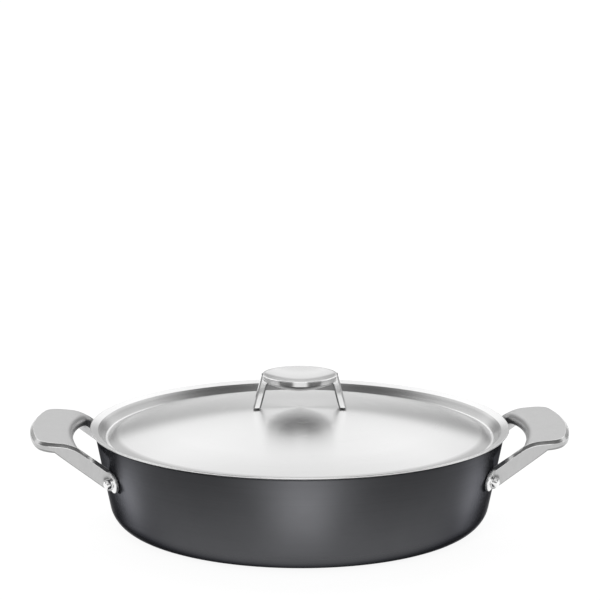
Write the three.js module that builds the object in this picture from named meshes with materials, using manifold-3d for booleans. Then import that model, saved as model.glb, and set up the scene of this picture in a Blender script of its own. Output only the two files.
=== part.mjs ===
// Low two-handled casserole with a drop-in lid, in millimetres.
// +Z is up, X runs through the two handles, and the origin is under the middle of the base.

import * as THREE from 'three';
import { mergeVertices } from 'three/addons/utils/BufferGeometryUtils.js';
import Module from 'manifold-3d';

// Pan
const RIM_RADIUS = 160;
const PAN_HEIGHT = 74;
const WALL_TAPER = THREE.MathUtils.degToRad(11.2);
const WALL_THICKNESS = 3;
const FLOOR_THICKNESS = 5;
const OUTER_FILLET = 21.5;
const INNER_FILLET = 17;
const RIM_ROUND = 0.6;
const RIM_CHAMFER_WIDTH = 1.4;
const RIM_CHAMFER_DEPTH = 2;

// Steel disc let into the underside
const DISC_RADIUS = 112;
const DISC_THICKNESS = 1.6;
const DISC_CHAMFER = 0.5;

// Lid
const LID_SHEET = 1;
const LID_CLEARANCE = 3.8;
const LID_NECK_GAP = 0.6;
const LID_WELL_DEPTH = 6;
const LID_RING_WIDTH = 3.5;
const LID_STEP_WIDTH = 3.2;
const LID_STEP_RISE = 1.3;
const LID_STEP_ROUND = 1.2;
const LID_DOME_RISE = 22;
const LID_OVERHANG = 3.5;
const LID_LIP_HEIGHT = 1.4;
const LID_LIP_WIDTH = 1.2;
const LID_LIP_RISE = 1.9;
const LID_LIP_ROUND = 0.5;
const LID_BEND = 1.6;
const LID_SEAT_INSET = 0.5;
const LID_SEAT_ROUND = 0.8;

// Knob: a dished disc on two splayed legs
const KNOB_RADIUS = 29.6;
const KNOB_RISE = 26.6;
const KNOB_BAND = 4.3;
const KNOB_CROWN = 7.8;
const KNOB_DISH = 4.5;
const KNOB_LAND = 2.2;
const KNOB_EDGE = 0.6;
const LEG_DEPTH = 9;
const LEG_WIDTH = 6;
const LEG_SPLAY = THREE.MathUtils.degToRad(14.4);
const LEG_EAR = 1.9;
const LEG_CHAMFER = 0.8;

// Handles
const HANDLE_REACH = 50;
const HANDLE_WIDTH = 117;
const GRIP_DEPTH = 33;
const GRIP_THICKNESS = 7.5;
const GRIP_ABOVE_RIM = 4.8;
const GRIP_RISE = THREE.MathUtils.degToRad(4.8);
const GRIP_BULGE_RADIUS = 192;
const GRIP_CORNER = 15;
const RAYS_FROM_TIP = 49.5;
const WINDOW_RADIUS = 170;
const WINDOW_CORNER = 5;
const WINDOW_ROUND = 4.5;
const BAR_WIDTH = 5;
const BAR_HEIGHT = 13.3;
const BAR_ROUND = 1;
const BAR_SLOPE = THREE.MathUtils.degToRad(36.4);
const GRIP_BEARING = THREE.MathUtils.degToRad(76);
const BAR_BEARING = THREE.MathUtils.degToRad(104);
const BEND_FROM_TIP = 36;
const BEND_RADIUS = 31;
const EDGE_CHAMFER = 2.5;
const BAR_UNDER_CHAMFER = 0.6;
const GRIP_UNDER_CHAMFER = 2.4;
const LUG_THICKNESS = 3;
const LUG_RADIUS = 8;
const LUG_NECK_RADIUS = 4.4;
const LUG_NECK_RISE = 3.6;

// Rivets
const RIVET_BELOW_RIM = 26.5;
const RIVET_FROM_BAR = 2.8;
const RIVET_SHANK = 2.5;
const RIVET_HEAD_RADIUS = 3.8;
const RIVET_HEAD_HEIGHT = 5;
const RIVET_HEAD_CHAMFER = 0.8;
const RIVET_INNER_RADIUS = 5.5;
const RIVET_INNER_HEIGHT = 1.8;
const RIVET_INNER_FLAT = 3.3;
const RIVET_INNER_EDGE = 0.6;

// Clearance between neighbouring pieces, and facet counts
const FIT = 0.3;
const TURN_STEPS = 60;
const SMALL_TURN_STEPS = 16;
const KNOB_TURN_STEPS = 40;
const KNOB_SPANS = 4;
const LUG_STEPS = 10;
const DOME_STEPS = 6;
const CHORD_ERROR = 0.2;
const HANDLE_STATIONS = 16;
const GRIP_SPANS = 4;
const EDGE_SAMPLES = 240;
const BEARING_SLACK = 1e-9;
const MERGE_DISTANCE = 1e-4;
const FILLET_SHARE = 0.49;

const wasm = await Module();
wasm.setup();

// Materials
const anodised = { color: 0x434448, roughness: 0.45, metalness: 0.6 };
const satinSteel = { color: 0xc9c9c8, roughness: 0.34, metalness: 1 };
const polishedSteel = { color: 0xd8d8d8, roughness: 0.12, metalness: 1 };
const discSteel = { color: 0xaaa9a6, roughness: 0.42, metalness: 1 };

// Shared tools

function point(x, y) {
  return new THREE.Vector2(x, y);
}

// Even steps from 0 to a limit, both included.
function spread(limit, steps) {
  return Array.from({ length: steps + 1 }, (_, step) => (limit * step) / steps);
}

// A line through corners given as [x, y, fillet], with an arc at each corner that has a fillet.
function rounded(corners) {
  const points = [];
  corners.forEach(([x, y, fillet], index) => {
    const corner = point(x, y);
    if (!fillet) {
      points.push(corner);
      return;
    }
    const back = point(...corners[index - 1]).sub(corner);
    const forth = point(...corners[index + 1]).sub(corner);
    const room = FILLET_SHARE * Math.min(back.length(), forth.length());
    back.normalize();
    forth.normalize();
    const half = Math.acos(back.dot(forth)) / 2;
    const reach = Math.min(fillet / Math.tan(half), room);
    const radius = reach * Math.tan(half);
    const centre = back.clone().add(forth).setLength(radius / Math.sin(half)).add(corner);
    const spoke = corner.clone().addScaledVector(back, reach).sub(centre);
    const sweep = Math.PI - 2 * half;
    const turn = Math.sign(forth.cross(back)) * sweep;
    const steps = Math.ceil(sweep / (2 * Math.acos(1 - Math.min(CHORD_ERROR / radius, 1))));
    for (let step = 0; step <= steps; step += 1) {
      points.push(spoke.clone().rotateAround(point(0, 0), (turn * step) / steps).add(centre));
    }
  });
  return points;
}

// The same line moved sideways, to the left of its direction.
function offsetLine(points, distance) {
  return points.map((here, index) => {
    const before = points[Math.max(index - 1, 0)];
    const after = points[Math.min(index + 1, points.length - 1)];
    const into = here.clone().sub(before).normalize();
    const out = after.clone().sub(here).normalize();
    const along = into.clone().add(out).normalize();
    const stretch = index === 0 || index === points.length - 1 ? 1 : along.dot(into);
    return point(-along.y, along.x).multiplyScalar(distance / stretch).add(here);
  });
}

// A closed mesh with shared corners, no empty faces, and its faces pointing out.
function closed(geometry) {
  geometry.deleteAttribute('normal');
  geometry.deleteAttribute('uv');
  geometry.clearGroups();
  const merged = mergeVertices(geometry, MERGE_DISTANCE);
  const place = (corner) => new THREE.Vector3().fromBufferAttribute(merged.attributes.position, corner);
  const faces = [];
  let volume = 0;
  for (let first = 0; first < merged.index.count; first += 3) {
    const [a, b, c] = merged.index.array.slice(first, first + 3);
    if (a !== b && b !== c && c !== a) {
      faces.push([a, b, c]);
      volume += place(a).dot(place(b).cross(place(c)));
    }
  }
  merged.setIndex(faces.flatMap(([a, b, c]) => (volume > 0 ? [a, b, c] : [a, c, b])));
  return merged;
}

function revolve(profile, steps) {
  const geometry = new THREE.LatheGeometry(profile, steps);
  geometry.rotateX(Math.PI / 2);
  return closed(geometry);
}

function box(low, high) {
  const size = high.clone().sub(low);
  const geometry = new THREE.BoxGeometry(size.x, size.y, size.z);
  geometry.translate(...low.clone().add(high).multiplyScalar(0.5).toArray());
  return closed(geometry);
}

function solid(geometry) {
  const vertProperties = new Float32Array(geometry.attributes.position.array);
  const triVerts = new Uint32Array(geometry.index.array);
  return new wasm.Manifold(new wasm.Mesh({ numProp: 3, vertProperties, triVerts }));
}

function surface(body) {
  const { vertProperties, triVerts } = body.getMesh();
  const geometry = new THREE.BufferGeometry();
  geometry.setAttribute('position', new THREE.BufferAttribute(vertProperties, 3));
  geometry.setIndex(new THREE.BufferAttribute(triVerts, 1));
  return geometry;
}

function piece(name, geometry, finish) {
  const mesh = new THREE.Mesh(geometry, new THREE.MeshStandardMaterial(finish));
  mesh.name = name;
  return mesh;
}

// Pan wall: a straight line leaning outwards

const wallLean = Math.tan(WALL_TAPER);
const wallAcross = WALL_THICKNESS / Math.cos(WALL_TAPER);

function outerRadius(height) {
  return RIM_RADIUS - (PAN_HEIGHT - height) * wallLean;
}

function innerRadius(height) {
  return outerRadius(height) - wallAcross;
}

// Seat of a rivet: a frame on the outside of the wall whose Z axis points straight out of it.

const rivetHeight = PAN_HEIGHT - RIVET_BELOW_RIM;
const rivetAcross = HANDLE_WIDTH / 2 + RIVET_FROM_BAR;
const rivetBearing = Math.asin(rivetAcross / outerRadius(rivetHeight));

function rivetFrame(bearing) {
  const outward = new THREE.Vector3(Math.cos(bearing), Math.sin(bearing), -wallLean).normalize();
  const sideways = new THREE.Vector3(-Math.sin(bearing), Math.cos(bearing), 0);
  const upward = outward.clone().cross(sideways);
  const frame = new THREE.Matrix4().makeBasis(sideways, upward, outward);
  const radius = outerRadius(rivetHeight);
  return frame.setPosition(radius * Math.cos(bearing), radius * Math.sin(bearing), rivetHeight);
}

function rivetHole(bearing) {
  const radius = RIVET_SHANK + FIT;
  const outer = LUG_THICKNESS + RIVET_HEAD_HEIGHT;
  const inner = -WALL_THICKNESS - RIVET_INNER_HEIGHT;
  const profile = [point(0, inner), point(radius, inner), point(radius, outer), point(0, outer)];
  return solid(revolve(profile, SMALL_TURN_STEPS).applyMatrix4(rivetFrame(bearing)));
}

function rivet() {
  const under = -WALL_THICKNESS - FIT;
  const seat = LUG_THICKNESS + 2 * FIT;
  const top = seat + RIVET_HEAD_HEIGHT;
  return revolve(rounded([
    [0, under - RIVET_INNER_HEIGHT],
    [RIVET_INNER_FLAT, under - RIVET_INNER_HEIGHT],
    [RIVET_INNER_RADIUS, under - RIVET_INNER_EDGE],
    [RIVET_INNER_RADIUS, under],
    [RIVET_SHANK, under],
    [RIVET_SHANK, seat],
    [RIVET_HEAD_RADIUS, seat],
    [RIVET_HEAD_RADIUS, top - RIVET_HEAD_CHAMFER],
    [RIVET_HEAD_RADIUS - RIVET_HEAD_CHAMFER, top],
    [0, top],
  ]), SMALL_TURN_STEPS);
}

// Pan body, with a recess under the floor for the steel disc

function panBody() {
  const recess = DISC_THICKNESS + FIT;
  const recessRadius = DISC_RADIUS + FIT;
  const profile = rounded([
    [0, recess],
    [recessRadius, recess],
    [recessRadius, 0],
    [outerRadius(0), 0, OUTER_FILLET],
    [RIM_RADIUS, PAN_HEIGHT, RIM_ROUND],
    [innerRadius(PAN_HEIGHT) + RIM_CHAMFER_WIDTH, PAN_HEIGHT],
    [innerRadius(PAN_HEIGHT - RIM_CHAMFER_DEPTH), PAN_HEIGHT - RIM_CHAMFER_DEPTH],
    [innerRadius(FLOOR_THICKNESS), FLOOR_THICKNESS, INNER_FILLET],
    [0, FLOOR_THICKNESS],
  ]);
  let body = solid(revolve(profile, TURN_STEPS));
  for (const side of [0, Math.PI]) {
    body = body.subtract(rivetHole(side - rivetBearing)).subtract(rivetHole(side + rivetBearing));
  }
  return surface(body);
}

function baseDisc() {
  return revolve([
    point(0, 0),
    point(DISC_RADIUS - DISC_CHAMFER, 0),
    point(DISC_RADIUS, DISC_CHAMFER),
    point(DISC_RADIUS, DISC_THICKNESS),
    point(0, DISC_THICKNESS),
  ], TURN_STEPS);
}

// Lid: one sheet, drawn along its underside and thickened upwards. The dome stands on a small step
// inside the flat ring at the bottom of the well.

const ringHeight = PAN_HEIGHT - LID_WELL_DEPTH;
const wellRadius = innerRadius(ringHeight) - LID_CLEARANCE;
const stepEdge = wellRadius - LID_RING_WIDTH;
const domeEdge = stepEdge - LID_STEP_WIDTH;
const domeRise = LID_DOME_RISE - LID_STEP_RISE;
const domeRadius = (domeEdge ** 2 + domeRise ** 2) / (2 * domeRise);
const domeTop = ringHeight + LID_DOME_RISE + LID_SHEET;

// Height of the dome's underside, or of the surface a distance above it.
function domeHeight(radius, above) {
  return ringHeight + LID_DOME_RISE - domeRadius + Math.sqrt((domeRadius + above) ** 2 - radius ** 2);
}

function lid() {
  const dome = spread(domeEdge, DOME_STEPS).map((radius) => [radius, domeHeight(radius, 0)]);
  const seatRadius = innerRadius(PAN_HEIGHT) + LID_SEAT_INSET;
  const restRadius = RIM_RADIUS - RIM_ROUND;
  const neckHeight = PAN_HEIGHT - RIM_CHAMFER_DEPTH;
  const neckRadius = innerRadius(neckHeight) - LID_NECK_GAP;
  const lipRadius = RIM_RADIUS + LID_OVERHANG;
  const lipBottom = PAN_HEIGHT + LID_LIP_RISE;
  const underside = rounded([
    ...dome,
    [stepEdge, ringHeight, LID_STEP_ROUND],
    [wellRadius, ringHeight, LID_BEND],
    [neckRadius, neckHeight, LID_BEND],
    [seatRadius, PAN_HEIGHT + FIT, LID_SEAT_ROUND],
    [restRadius, PAN_HEIGHT + FIT, LID_SEAT_ROUND],
    [lipRadius - LID_LIP_WIDTH, lipBottom + FIT],
  ]);
  const topside = offsetLine(underside, LID_SHEET);
  topside[0].x = 0;
  const edge = rounded([
    [lipRadius - LID_LIP_WIDTH, lipBottom],
    [lipRadius, lipBottom, LID_LIP_ROUND],
    [lipRadius, lipBottom + LID_LIP_HEIGHT, LID_LIP_ROUND],
    [lipRadius - LID_LIP_WIDTH, lipBottom + LID_LIP_HEIGHT],
  ]);
  return revolve([...underside, ...edge, ...topside.reverse()], TURN_STEPS);
}

// Knob

const knobTop = domeTop + KNOB_RISE;
const bandBottom = knobTop - KNOB_BAND;
const notch = KNOB_RADIUS - LEG_EAR;

function knobUnderside(radius) {
  return bandBottom - KNOB_CROWN * (1 - (radius / KNOB_RADIUS) ** 2);
}

function knobUpside(radius) {
  return knobTop - KNOB_DISH * (1 - (radius / (KNOB_RADIUS - KNOB_LAND)) ** 2);
}

function knobDisc() {
  const dishRadius = KNOB_RADIUS - KNOB_LAND;
  const under = spread(KNOB_RADIUS, KNOB_SPANS).map((radius) => [radius, knobUnderside(radius)]);
  const upper = spread(dishRadius, KNOB_SPANS).map((radius) => [radius, knobUpside(radius)]);
  const profile = rounded([...under, [KNOB_RADIUS, knobTop, KNOB_EDGE], ...upper.reverse()]);
  let body = solid(revolve(profile, KNOB_TURN_STEPS));
  for (const side of [-1, 1]) {
    const ends = [notch * side, (KNOB_RADIUS + LEG_EAR) * side].sort((a, b) => a - b);
    const low = new THREE.Vector3(ends[0], -LEG_DEPTH / 2 - FIT, bandBottom - KNOB_CROWN);
    const high = new THREE.Vector3(ends[1], LEG_DEPTH / 2 + FIT, knobTop + FIT);
    body = body.subtract(solid(box(low, high)));
  }
  return surface(body);
}

// A leg stands on the dome, carries the disc on a shoulder and ends in an ear that fills a notch in
// the rim of the disc.
function knobLeg() {
  const lean = Math.tan(LEG_SPLAY);
  const outside = (height) => KNOB_RADIUS + (knobTop - height) * lean;
  const foot = domeHeight(KNOB_RADIUS + KNOB_RISE, LID_SHEET);
  const outline = new THREE.Shape([
    point(outside(foot) - LEG_WIDTH, foot),
    point(outside(foot), foot),
    point(outside(knobTop), knobTop),
    point(outside(knobTop) - LEG_WIDTH, knobTop),
  ]);
  const bar = new THREE.ExtrudeGeometry(outline, {
    depth: LEG_DEPTH - 2 * LEG_CHAMFER,
    bevelThickness: LEG_CHAMFER,
    bevelSize: LEG_CHAMFER,
    bevelOffset: -LEG_CHAMFER,
    bevelSegments: 1,
  });
  bar.translate(0, 0, LEG_CHAMFER - LEG_DEPTH / 2);
  bar.rotateX(Math.PI / 2);
  const reach = outside(foot) + LEG_WIDTH;
  const below = foot - LEG_WIDTH;
  const overLid = (radius) => point(radius, domeHeight(radius, LID_SHEET + FIT));
  const underDisc = (radius) => point(radius, knobUnderside(radius) - FIT);
  const lidSide = spread(reach, DOME_STEPS).map(overLid);
  const discSide = spread(KNOB_RADIUS, KNOB_SPANS).map(underDisc);
  const lidSpace = revolve([point(0, below), point(reach, below), ...lidSide.reverse()], TURN_STEPS);
  const aboveDisc = knobTop + KNOB_BAND;
  const discProfile = [...discSide, point(KNOB_RADIUS, aboveDisc), point(0, aboveDisc)];
  const discSpace = solid(revolve(discProfile, KNOB_TURN_STEPS));
  const inward = box(
    new THREE.Vector3(0, -LEG_DEPTH, bandBottom - KNOB_BAND),
    new THREE.Vector3(notch + FIT, LEG_DEPTH, aboveDisc),
  );
  const body = solid(closed(bar)).subtract(solid(lidSpace)).subtract(discSpace.intersect(solid(inward)));
  return surface(body);
}

// Handle: a bent plate. Its outer and inner edges are drawn in plan, rays from the middle of the
// window pair them up, and a chamfered section follows the bend between each pair.

const tip = RIM_RADIUS + HANDLE_REACH;
const gripTop = PAN_HEIGHT + GRIP_ABOVE_RIM;
const bendX = tip - BEND_FROM_TIP;
const bendZ = gripTop - BEND_FROM_TIP * Math.tan(GRIP_RISE);
const rootX = outerRadius(0) - BAR_HEIGHT;

// Centre of the rays, inside the window.
const windowX = tip - RAYS_FROM_TIP;

function gripLine(x) {
  return gripTop - (tip - x) * Math.tan(GRIP_RISE);
}

function barLine(x) {
  return bendZ - (bendX - x) * Math.tan(BAR_SLOPE);
}

// Where the underside of a bar meets the underside of the grip.
const barDrop = BAR_HEIGHT / Math.cos(BAR_SLOPE);
const heelX = bendX + (barDrop - GRIP_THICKNESS) / (Math.tan(BAR_SLOPE) - Math.tan(GRIP_RISE));

// Top of the plate: the sloping bars and the grip, joined by a bend.
function plateTop(x) {
  const reach = BEND_RADIUS * Math.tan((BAR_SLOPE - GRIP_RISE) / 2);
  const start = bendX - reach * Math.cos(BAR_SLOPE);
  const end = bendX + reach * Math.cos(GRIP_RISE);
  if (x <= start) {
    return barLine(x);
  }
  if (x >= end) {
    return gripLine(x);
  }
  const centreX = start + BEND_RADIUS * Math.sin(BAR_SLOPE);
  const centreZ = barLine(start) - BEND_RADIUS * Math.cos(BAR_SLOPE);
  return centreZ + Math.sqrt(BEND_RADIUS ** 2 - (x - centreX) ** 2);
}

// Underside: deep along the outer edges of the bars, and an even thickness where it is thin.
function plateBottom(x, thin) {
  const underBar = Math.max(barLine(x) - barDrop, rivetHeight - LUG_RADIUS);
  const underEdge = Math.min(underBar, gripLine(x) - GRIP_THICKNESS);
  const underGrip = plateTop(x) - GRIP_THICKNESS;
  return THREE.MathUtils.lerp(underEdge, underGrip, thin);
}

// Half of an edge in plan: along the bar, round a corner, then along the arc of the grip.
function planEdge(halfWidth, apex, arcRadius, corner) {
  const arcX = apex - arcRadius;
  const cornerY = -(halfWidth - corner);
  const cornerX = arcX + Math.sqrt((arcRadius - corner) ** 2 - cornerY ** 2);
  const swing = Math.atan2(cornerY, cornerX - arcX);
  const edge = new THREE.Path();
  edge.moveTo(rootX, -halfWidth);
  edge.lineTo(cornerX, -halfWidth);
  edge.absarc(cornerX, cornerY, corner, -Math.PI / 2, swing, false);
  edge.absarc(arcX, 0, arcRadius, swing, 0, false);
  return edge.getSpacedPoints(EDGE_SAMPLES);
}

function bearingOf(place) {
  return Math.atan2(place.y, place.x - windowX);
}

function onRay(edge, bearing) {
  const found = edge.findIndex((place) => bearingOf(place) >= -Math.abs(bearing) - BEARING_SLACK);
  const after = edge[Math.max(found, 1)];
  const before = edge[Math.max(found, 1) - 1];
  const share = (-Math.abs(bearing) - bearingOf(before)) / (bearingOf(after) - bearingOf(before));
  const place = before.clone().lerp(after, share);
  return point(place.x, place.y * (bearing > 0 ? -1 : 1));
}

// Direction square to an edge at one of its stations, to its left.
function leftOf(edge, index) {
  const before = edge[Math.max(index - 1, 0)];
  const after = edge[Math.min(index + 1, edge.length - 1)];
  const along = after.clone().sub(before).normalize();
  return point(-along.y, along.x);
}

// Chamfer under the outer edge: slight along the bars, wider towards the tip of the grip.
function underChamfer(x) {
  const share = THREE.MathUtils.smoothstep(x, bendX, tip);
  return THREE.MathUtils.lerp(BAR_UNDER_CHAMFER, GRIP_UNDER_CHAMFER, share);
}

// One section of the plate, from its outer edge over the top to the window and back underneath.
// Towards the middle of the grip the window's edge gets thin and well rounded.
function plateSection(outer, outerIn, inner, innerIn, middle) {
  const section = [];
  const add = (place, height) => section.push(new THREE.Vector3(place.x, place.y, height));
  const top = (place) => plateTop(place.x);
  const moved = (place, way, distance) => place.clone().addScaledVector(way, distance);
  const round = THREE.MathUtils.lerp(BAR_ROUND, WINDOW_ROUND, middle);
  const sagitta = round * (1 - Math.SQRT1_2);
  const under = underChamfer(outer.x);
  const topOuter = moved(outer, outerIn, EDGE_CHAMFER);
  const topInner = moved(inner, innerIn, round);
  const roundInner = moved(inner, innerIn, sagitta);
  const lowOuter = moved(outer, outerIn, under);
  const lowInner = moved(inner, innerIn, BAR_UNDER_CHAMFER);
  add(outer, plateBottom(outer.x, 0) + under);
  add(outer, top(outer) - EDGE_CHAMFER);
  for (let span = 0; span <= GRIP_SPANS; span += 1) {
    const place = topOuter.clone().lerp(topInner, span / GRIP_SPANS);
    add(place, top(place));
  }
  add(roundInner, top(roundInner) - sagitta);
  add(inner, top(inner) - round);
  add(inner, plateBottom(inner.x, middle) + BAR_UNDER_CHAMFER);
  for (let span = 0; span <= GRIP_SPANS; span += 1) {
    const share = span / GRIP_SPANS;
    const place = lowInner.clone().lerp(lowOuter, share);
    add(place, plateBottom(place.x, middle * (1 - share)));
  }
  return section;
}

// A solid skin over a row of sections, closed by a fan at each end.
function loft(sections) {
  const count = sections[0].length;
  const corners = sections.flat();
  const index = [];
  for (let row = 0; row < sections.length - 1; row += 1) {
    for (let column = 0; column < count; column += 1) {
      const here = row * count + column;
      const beside = row * count + ((column + 1) % count);
      index.push(here, beside, here + count, beside, beside + count, here + count);
    }
  }
  for (const row of [0, sections.length - 1]) {
    const middle = sections[row].reduce((sum, corner) => sum.add(corner), new THREE.Vector3());
    const hub = corners.push(middle.divideScalar(count)) - 1;
    for (let column = 0; column < count; column += 1) {
      const rim = [row * count + column, row * count + ((column + 1) % count)];
      index.push(hub, ...(row === 0 ? rim.reverse() : rim));
    }
  }
  const geometry = new THREE.BufferGeometry();
  const places = corners.flatMap((corner) => corner.toArray());
  geometry.setAttribute('position', new THREE.Float32BufferAttribute(places, 3));
  geometry.setIndex(index);
  return closed(geometry);
}

function plate() {
  const barInside = HANDLE_WIDTH / 2 - BAR_WIDTH;
  const outerHalf = planEdge(HANDLE_WIDTH / 2, tip, GRIP_BULGE_RADIUS, GRIP_CORNER);
  const innerHalf = planEdge(barInside, tip - GRIP_DEPTH, WINDOW_RADIUS, WINDOW_CORNER);
  const widest = -Math.max(bearingOf(outerHalf[0]), bearingOf(innerHalf[0]));
  const bearings = [];
  for (let station = -HANDLE_STATIONS; station <= HANDLE_STATIONS; station += 1) {
    bearings.push((widest * station) / HANDLE_STATIONS);
  }
  const heel = bearingOf(point(heelX, -HANDLE_WIDTH / 2));
  bearings.push(heel, -heel);
  bearings.sort((a, b) => a - b);
  const outer = bearings.map((bearing) => onRay(outerHalf, bearing));
  const inner = bearings.map((bearing) => onRay(innerHalf, bearing));
  return loft(bearings.map((bearing, index) => {
    const middle = 1 - THREE.MathUtils.smoothstep(Math.abs(bearing), GRIP_BEARING, BAR_BEARING);
    const innerIn = leftOf(inner, index).negate();
    return plateSection(outer[index], leftOf(outer, index), inner[index], innerIn, middle);
  }));
}

// Space that the pan takes up on the handle's side, grown by a distance.
function panSpace(grown) {
  const across = grown / Math.cos(WALL_TAPER);
  return solid(revolve([
    point(0, 0),
    point(outerRadius(0) + across, 0),
    point(outerRadius(PAN_HEIGHT) + across, PAN_HEIGHT),
    point(0, PAN_HEIGHT),
  ], TURN_STEPS));
}

// A lug lies on the wall: a drop shape round the rivet that narrows towards the top of the bar.
function lug(side) {
  const neckX = -side * (RIVET_FROM_BAR + BAR_WIDTH / 2);
  const span = Math.hypot(neckX, LUG_NECK_RISE);
  const heading = Math.atan2(LUG_NECK_RISE, neckX);
  const swing = Math.acos((LUG_RADIUS - LUG_NECK_RADIUS) / span);
  const outline = new THREE.Shape();
  outline.absarc(0, 0, LUG_RADIUS, heading + swing, heading - swing + 2 * Math.PI, false);
  outline.absarc(neckX, LUG_NECK_RISE, LUG_NECK_RADIUS, heading - swing, heading + swing, false);
  const reach = 2 * LUG_RADIUS;
  const block = new THREE.ExtrudeGeometry(outline, {
    depth: reach,
    bevelEnabled: false,
    curveSegments: LUG_STEPS,
  });
  block.translate(0, 0, -reach / 2);
  block.applyMatrix4(rivetFrame(side * rivetBearing));
  const shell = panSpace(FIT + LUG_THICKNESS).subtract(panSpace(FIT));
  return shell.intersect(solid(closed(block)));
}

function handle() {
  let body = solid(plate()).subtract(panSpace(FIT));
  for (const side of [-1, 1]) {
    body = body.add(lug(side)).subtract(rivetHole(side * rivetBearing));
  }
  return surface(body);
}

// Assembly

const casserole = new THREE.Group();
casserole.add(piece('pan_body', panBody(), anodised));
casserole.add(piece('base_disc', baseDisc(), discSteel));

const handleShape = handle();
const rivetShape = rivet();
const sides = [
  { name: 'right', turn: 0, rivets: ['front', 'back'] },
  { name: 'left', turn: Math.PI, rivets: ['back', 'front'] },
];
for (const side of sides) {
  const fitting = new THREE.Group();
  fitting.rotation.z = side.turn;
  fitting.add(piece(`handle_${side.name}`, handleShape, satinSteel));
  side.rivets.forEach((end, index) => {
    const fastener = piece(`rivet_${side.name}_${end}`, rivetShape, polishedSteel);
    const frame = rivetFrame(index === 0 ? -rivetBearing : rivetBearing);
    fastener.position.setFromMatrixPosition(frame);
    fastener.quaternion.setFromRotationMatrix(frame);
    fitting.add(fastener);
  });
  casserole.add(fitting);
}

casserole.add(piece('lid', lid(), satinSteel));
casserole.add(piece('knob_disc', knobDisc(), polishedSteel));
const legShape = knobLeg();
for (const side of sides) {
  const leg = piece(`knob_leg_${side.name}`, legShape, polishedSteel);
  leg.rotation.z = side.turn;
  casserole.add(leg);
}

export default casserole;
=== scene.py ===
import math

import bmesh
import bpy
from mathutils import Matrix, Quaternion, Vector


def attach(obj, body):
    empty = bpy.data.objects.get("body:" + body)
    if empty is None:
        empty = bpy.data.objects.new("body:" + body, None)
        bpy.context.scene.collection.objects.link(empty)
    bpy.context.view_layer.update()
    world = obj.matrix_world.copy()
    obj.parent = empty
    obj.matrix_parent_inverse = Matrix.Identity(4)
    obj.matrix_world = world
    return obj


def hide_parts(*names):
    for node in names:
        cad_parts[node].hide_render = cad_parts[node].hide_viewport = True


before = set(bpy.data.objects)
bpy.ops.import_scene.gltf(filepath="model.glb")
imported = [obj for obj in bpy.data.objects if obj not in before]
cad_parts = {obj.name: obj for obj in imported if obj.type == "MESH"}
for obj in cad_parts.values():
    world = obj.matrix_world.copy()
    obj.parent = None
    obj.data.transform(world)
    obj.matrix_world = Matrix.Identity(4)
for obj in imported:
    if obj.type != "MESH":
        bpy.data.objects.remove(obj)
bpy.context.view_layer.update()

# Lengths are in millimetres and become metres in the meshes. Camera and lamps are placed in metres.
MM = 0.001

# Pan
RIM_RADIUS = 160.0
PAN_HEIGHT = 74.0
WALL_TAPER = math.radians(11.2)
WALL_THICKNESS = 3.0
FLOOR_THICKNESS = 5.0
OUTER_FILLET = 21.5
INNER_FILLET = 17.0
RIM_ROUND = 0.6
RIM_CHAMFER_WIDTH = 1.4
RIM_CHAMFER_DEPTH = 2.0
RIM_SLACK = 0.01

# Steel disc let into the underside, with grooves given in shares of their pitch
DISC_RADIUS = 112.0
DISC_THICKNESS = 1.6
DISC_CHAMFER = 0.5
DISC_MARGIN = 2.0
DISC_PLAIN_SHARE = 0.1
DISC_GROOVES = 26
DISC_GROOVE_DEPTH = 0.12
GROOVE_START = 0.62
GROOVE_FLOOR_START = 0.70
GROOVE_FLOOR_END = 0.92

# Lid
LID_SHEET = 1.0
LID_CLEARANCE = 3.8
LID_NECK_GAP = 0.6
LID_WELL_DEPTH = 6.0
LID_RING_WIDTH = 1.8
LID_STEP_WIDTH = 4.8
LID_STEP_RISE = 2.1
LID_STEP_ROUND = 0.9
LID_DOME_RISE = 22.0
LID_OVERHANG = 3.5
LID_LIP_HEIGHT = 1.4
LID_LIP_WIDTH = 1.2
LID_LIP_RISE = 1.9
LID_LIP_ROUND = 0.5
LID_BEND = 1.6
LID_SEAT_INSET = 0.5
LID_SEAT_ROUND = 0.8
LID_HEM_FALL = 2.0
LID_HEM_ROUND = 0.5

# Knob
KNOB_RADIUS = 29.6
KNOB_RISE = 26.6
KNOB_BAND = 4.3
KNOB_CROWN = 7.8
KNOB_DISH = 4.5
KNOB_LAND = 2.2
KNOB_EDGE = 0.6
KNOB_UNDERCUT = 0.9
LEG_DEPTH = 9.0
LEG_WIDTH = 6.0
LEG_SPLAY = math.radians(14.4)
LEG_EAR = 1.9
LEG_BEVEL = 1.2
LEG_INNER_SLOPE = math.radians(24)
LEG_OUTER_SLOPE = math.radians(40)
LEG_FILLET = 5.0
LEG_FILLET_SHARE = 0.96
LEG_FOOT_GAP = 0.15
LEG_FOOT_BAND = 1.3
LEG_FOOT_INSET = 1.1
LEG_TOP_EDGE = 0.5
LEG_TOP_GAP = 0.1
LEG_TOP_INSET = 0.6

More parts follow.
